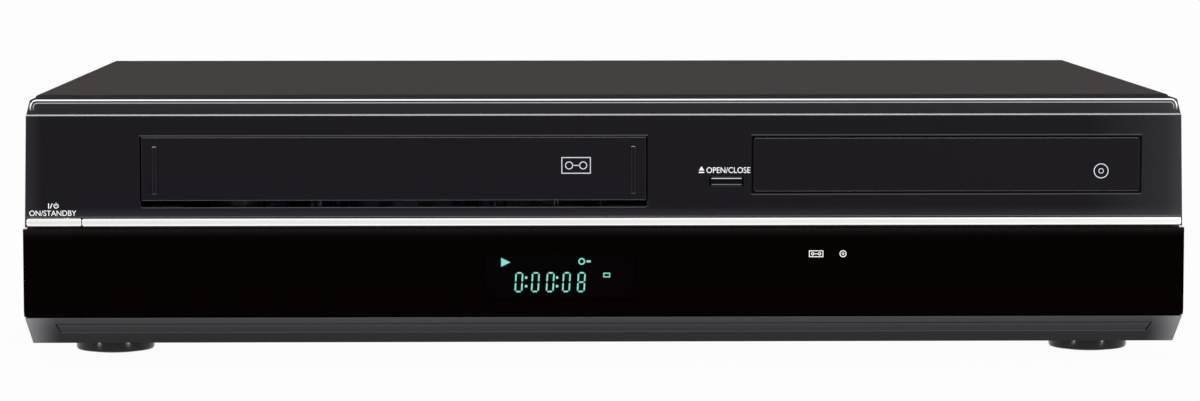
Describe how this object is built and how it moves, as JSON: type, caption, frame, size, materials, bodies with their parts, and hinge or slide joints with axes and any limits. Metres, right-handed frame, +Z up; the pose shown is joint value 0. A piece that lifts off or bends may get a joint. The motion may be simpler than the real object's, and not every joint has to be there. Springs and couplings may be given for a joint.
{
  "type": "disc and cassette player",
  "caption": "Low wide home video player with a cassette slot behind a flap, a sliding disc tray and a flip-down gloss door over the display and keys.",
  "frame": {"origin": "middle of the outer box in X and Y, on the surface under the feet", "axes": "+X to the user's right along the width, -Y the front, +Z up"},
  "size_m": [0.435, 0.327, 0.0995],
  "materials": {
    "cover_paint": "fine textured dark paint",
    "case_steel": "plain zinc-plated sheet",
    "bezel_plastic": "satin moulded plastic",
    "door_gloss": "smoked gloss plastic",
    "silver_trim": "bright satin anodised",
    "foot_plastic": "glossy with fine rings",
    "rubber_black": "matt",
    "screw_black": "black oxide",
    "bright_steel": "ground and polished",
    "frame_plastic": "moulded black",
    "chassis_plastic": "moulded grey",
    "key_plastic": "satin grey",
    "white_plastic": "natural acetal",
    "drum_metal": "turned and polished",
    "circuit_board": "green solder mask",
    "power_laminate": "tan laminate",
    "component_black": "moulded packages",
    "display_glass": "glass envelope, lit teal",
    "socket_metal": "nickel and gold plate",
    "inlet_plastic": "moulded black",
    "motor_can": "plated can"
  },
  "bodies": {
    "root": {"bottom_plate": "case_steel", "chassis_frame": "chassis_plastic", "top_cover": "cover_paint", "rear_panel": "case_steel", "front_bezel": "bezel_plastic", "silver_strip": "silver_trim", "hinge_cover_strip": "bezel_plastic", "feet": "foot_plastic", "foot_pads": "rubber_black", "cover_screws": "screw_black", "front_board": "circuit_board", "display_tube": "display_glass", "front_jacks": "socket_metal", "main_board": "circuit_board", "main_chips": "component_black", "power_board": "power_laminate", "power_parts": "component_black", "heat_sink": "drum_metal", "ac_inlet": "inlet_plastic", "rear_jacks": "socket_metal", "tuner_box": "case_steel", "fan_frame": "frame_plastic", "deck_plate": "case_steel", "carriage_side_plates": "case_steel", "cassette_door_shaft": "bright_steel", "cassette_door_spring": "bright_steel", "drum_base": "drum_metal", "tape_guides": "bright_steel", "loading_motor": "motor_can", "drive_belt": "rubber_black", "drive_frame": "frame_plastic", "clamp_bridge": "case_steel", "drive_motors": "motor_can", "guide_rods": "bright_steel"},
    "door": {"front_door": "door_gloss", "door_hinge_pins": "bright_steel"},
    "power_button": {"power_button": "silver_trim"},
    "eject_button": {"eject_button": "bezel_plastic"},
    "record_key": {"record_key": "key_plastic"},
    "stop_key": {"stop_key": "key_plastic"},
    "play_key": {"play_key": "key_plastic"},
    "channel_key": {"channel_key": "key_plastic"},
    "cassette_flap": {"cassette_door": "bezel_plastic"},
    "basket": {"cassette_basket": "frame_plastic"},
    "cam": {"cam_gear": "white_plastic"},
    "supply_reel": {"supply_reel": "white_plastic"},
    "take_up_reel": {"take_up_reel": "white_plastic"},
    "drum": {"head_drum": "drum_metal"},
    "capstan": {"capstan": "bright_steel"},
    "pinch_arm": {"pinch_arm": "case_steel"},
    "pinch_roller": {"pinch_roller": "rubber_black"},
    "tray": {"disc_tray": "frame_plastic", "tray_front": "bezel_plastic"},
    "tray_pinion": {"tray_pinion": "white_plastic"},
    "clamp": {"clamp_puck": "frame_plastic"},
    "turntable": {"turntable": "frame_plastic"},
    "pickup": {"optical_pickup": "frame_plastic"},
    "lead_screw": {"lead_screw": "bright_steel"},
    "fan": {"fan_rotor": "frame_plastic"}
  },
  "joints": [
    {"name": "door_hinge", "type": "hinge", "parent": "root", "child": "door", "pos_m": [0, -0.1605, 0.0206], "axis": [1, 0, 0], "range_deg": [0, 90]},
    {"name": "power_press", "type": "slide", "parent": "root", "child": "power_button", "axis": [0, 1, 0], "range_m": [0, 0.0008], "stiffness_N_per_m": 300, "springref_m": -0.001},
    {"name": "eject_press", "type": "slide", "parent": "root", "child": "eject_button", "axis": [0, 1, 0], "range_m": [0, 0.0007], "stiffness_N_per_m": 300, "springref_m": -0.001},
    {"name": "record_press", "type": "slide", "parent": "root", "child": "record_key", "axis": [0, 1, 0], "range_m": [0, 0.0007], "stiffness_N_per_m": 300, "springref_m": -0.001},
    {"name": "stop_press", "type": "slide", "parent": "root", "child": "stop_key", "axis": [0, 1, 0], "range_m": [0, 0.0007], "stiffness_N_per_m": 300, "springref_m": -0.001},
    {"name": "play_press", "type": "slide", "parent": "root", "child": "play_key", "axis": [0, 1, 0], "range_m": [0, 0.0007], "stiffness_N_per_m": 300, "springref_m": -0.001},
    {"name": "channel_press", "type": "slide", "parent": "root", "child": "channel_key", "axis": [0, 1, 0], "range_m": [0, 0.0007], "stiffness_N_per_m": 300, "springref_m": -0.001},
    {"name": "flap_hinge", "type": "hinge", "parent": "root", "child": "cassette_flap", "pos_m": [-0.07895, -0.158, 0.089], "axis": [1, 0, 0], "range_deg": [0, 88], "stiffness_Nm_per_rad": 0.002, "springref_deg": -34.38},
    {"name": "basket_slide", "type": "slide", "parent": "root", "child": "basket", "axis": [0, 0.8064, -0.5914], "range_m": [0, 0.0372]},
    {"name": "cam_turn", "type": "hinge", "parent": "root", "child": "cam", "pos_m": [-0.15295, 0.0185, 0.033], "axis": [0, 0, 1], "range_deg": [0, 185]},
    {"name": "supply_reel_turn", "type": "hinge", "parent": "root", "child": "supply_reel", "pos_m": [-0.1252, -0.079, 0.036], "axis": [0, 0, 1], "continuous": true},
    {"name": "take_up_reel_turn", "type": "hinge", "parent": "root", "child": "take_up_reel", "pos_m": [-0.0327, -0.079, 0.036], "axis": [0, 0, 1], "continuous": true},
    {"name": "drum_turn", "type": "hinge", "parent": "root", "child": "drum", "pos_m": [-0.07895, 0.0135, 0.0315], "axis": [0, -0.0872, 0.9962], "continuous": true},
    {"name": "capstan_turn", "type": "hinge", "parent": "root", "child": "capstan", "pos_m": [-0.01695, -0.018, 0.04], "axis": [0, 0, 1], "continuous": true},
    {"name": "pinch_arm_swing", "type": "hinge", "parent": "root", "child": "pinch_arm", "pos_m": [0.00105, -0.004, 0.04], "axis": [0, 0, -1], "range_deg": [0, 20], "stiffness_Nm_per_rad": 0.002, "springref_deg": -17.19},
    {"name": "pinch_roller_turn", "type": "hinge", "parent": "pinch_arm", "child": "pinch_roller", "pos_m": [-0.00693, -0.01671, 0.052], "axis": [0, 0, 1], "continuous": true},
    {"name": "tray_slide", "type": "slide", "parent": "root", "child": "tray", "axis": [0, -1, 0], "range_m": [0, 0.135]},
    {"name": "tray_pinion_turn", "type": "hinge", "parent": "root", "child": "tray_pinion", "pos_m": [0.07132, -0.1445, 0.067], "axis": [0, 0, 1], "range_deg": [0, 1300]},
    {"name": "clamp_turn", "type": "hinge", "parent": "root", "child": "clamp", "pos_m": [0.12802, -0.088, 0.086], "axis": [0, 0, 1], "continuous": true},
    {"name": "turntable_turn", "type": "hinge", "parent": "root", "child": "turntable", "pos_m": [0.12802, -0.088, 0.068], "axis": [0, 0, 1], "continuous": true},
    {"name": "pickup_slide", "type": "slide", "parent": "root", "child": "pickup", "axis": [0, 1, 0], "range_m": [0, 0.033]},
    {"name": "lead_screw_turn", "type": "hinge", "parent": "root", "child": "lead_screw", "pos_m": [0.16102, 0, 0.066], "axis": [0, 1, 0], "range_deg": [0, 4000]},
    {"name": "fan_turn", "type": "hinge", "parent": "root", "child": "fan", "pos_m": [-0.07499, 0.1505, 0.056], "axis": [0, 1, 0], "continuous": true}
  ],
  "couplings": [
    {"joint": "tray_pinion_turn", "follows": "tray_slide", "rad_per_m": 166.67},
    {"joint": "lead_screw_turn", "follows": "pickup_slide", "rad_per_m": 2094.4},
    {"joint": "cam_turn", "follows": "basket_slide", "rad_per_m": 84.447}
  ]
}
